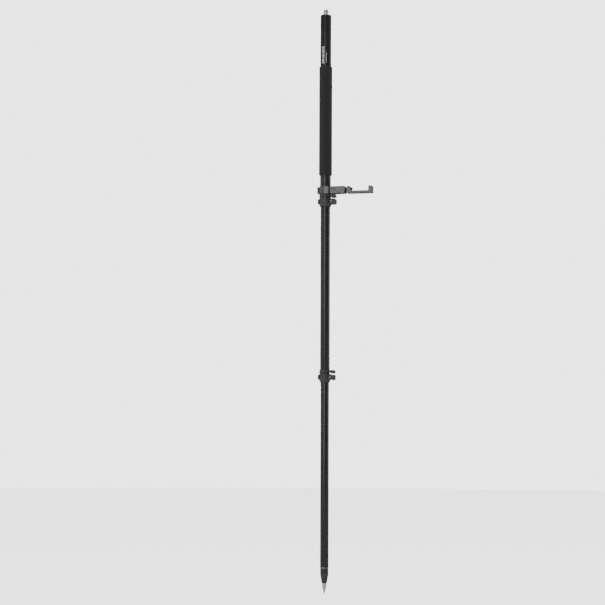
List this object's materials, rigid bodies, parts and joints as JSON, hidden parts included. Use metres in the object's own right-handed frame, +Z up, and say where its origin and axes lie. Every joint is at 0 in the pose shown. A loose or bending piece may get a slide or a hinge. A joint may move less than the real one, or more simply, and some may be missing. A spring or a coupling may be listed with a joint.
{
  "type": "prism pole",
  "caption": "Telescopic survey pole with a pointed foot, cam-lever tube clamps, foam grip, threaded top stud and a folding phone cradle on a hinged collar.",
  "frame": {"origin": "end of the steel point, on the pole's axis", "axes": "+Z up along the pole towards the top stud, +X along the device arm, -Y the front of the clamps, where their nuts are"},
  "size_m": [0.1761, 0.0493, 1.8175],
  "materials": {
    "carbon_tube": "satin lacquer over carbon fibre",
    "foam": "matte closed-cell foam",
    "clamp_plastic": "fine moulded texture",
    "nylon": "plain moulded",
    "grey_anodised": "satin dark grey anodised",
    "black_anodised": "satin black anodised",
    "steel": "turned and polished stainless",
    "black_steel": "black oxide",
    "rubber": "matte"
  },
  "bodies": {
    "lower_section": {"lower_tube": "carbon_tube", "steel_tip": "steel", "point_holder": "black_anodised", "point_ring": "steel", "lower_guide_sleeve": "nylon"},
    "middle_section": {"middle_tube": "carbon_tube", "lower_clamp_collar": "clamp_plastic", "lower_clamp_liner": "nylon", "lower_fixing_screw": "black_steel", "lower_fixing_nut": "black_steel", "lower_tie_bolt": "black_steel", "lower_tie_washer": "black_steel", "lower_tie_nut": "black_steel", "middle_guide_sleeve": "nylon"},
    "upper_section": {"upper_tube": "carbon_tube", "upper_clamp_collar": "clamp_plastic", "upper_clamp_liner": "nylon", "upper_fixing_screw": "black_steel", "upper_fixing_nut": "black_steel", "upper_tie_bolt": "black_steel", "upper_tie_washer": "black_steel", "upper_tie_nut": "black_steel", "top_plug": "black_anodised", "antenna_stud": "steel", "foam_grip": "foam", "bracket_body": "grey_anodised", "hinge_pin": "steel", "pressure_pad": "nylon", "pivot_screw_front": "black_steel", "pivot_screw_rear": "black_steel"},
    "lower_lever": {"lower_clamp_lever": "clamp_plastic", "lower_cam_pin": "steel"},
    "upper_lever": {"upper_clamp_lever": "clamp_plastic", "upper_cam_pin": "steel"},
    "collar_jaw": {"bracket_jaw": "grey_anodised", "latch_screw": "black_steel"},
    "knob": {"clamp_knob": "clamp_plastic", "clamp_screw": "steel"},
    "arm": {"arm_fork": "grey_anodised", "neck_spacer": "rubber", "cradle_screw": "steel", "pivot_bush_front": "grey_anodised", "pivot_bush_rear": "grey_anodised", "cradle": "grey_anodised", "inner_jaw_pad": "rubber", "jaw_spring": "steel"},
    "phone_jaw": {"outer_jaw": "grey_anodised", "outer_jaw_pad": "rubber", "guide_rod_front": "steel", "guide_rod_rear": "steel"}
  },
  "joints": [
    {"name": "lower_slide", "type": "slide", "parent": "lower_section", "child": "middle_section", "axis": [0, 0, -1], "range_m": [0, 0.5645]},
    {"name": "upper_slide", "type": "slide", "parent": "middle_section", "child": "upper_section", "axis": [0, 0, -1], "range_m": [0, 0.507]},
    {"name": "lower_lever_turn", "type": "hinge", "parent": "middle_section", "child": "lower_lever", "pos_m": [0.0194, 0.0183, 0.6635], "axis": [0, 0, -1], "range_deg": [0, 120]},
    {"name": "upper_lever_turn", "type": "hinge", "parent": "upper_section", "child": "upper_lever", "pos_m": [0.0214, 0.0183, 1.21], "axis": [0, 0, -1], "range_deg": [0, 120]},
    {"name": "collar_hinge", "type": "hinge", "parent": "upper_section", "child": "collar_jaw", "pos_m": [-0.0218, -0.004, 1.24435], "axis": [0, 0, 1], "range_deg": [0, 100]},
    {"name": "knob_turn", "type": "hinge", "parent": "upper_section", "child": "knob", "pos_m": [0.03, 0, 1.2445], "axis": [1, 0, 0], "continuous": true},
    {"name": "arm_fold", "type": "hinge", "parent": "upper_section", "child": "arm", "pos_m": [0.03, 0, 1.2465], "axis": [0, -1, 0], "range_deg": [0, 90]},
    {"name": "jaw_slide", "type": "slide", "parent": "arm", "child": "phone_jaw", "axis": [1, 0, 0], "range_m": [0, 0.028], "stiffness_N_per_m": 300, "springref_m": -0.02}
  ]
}
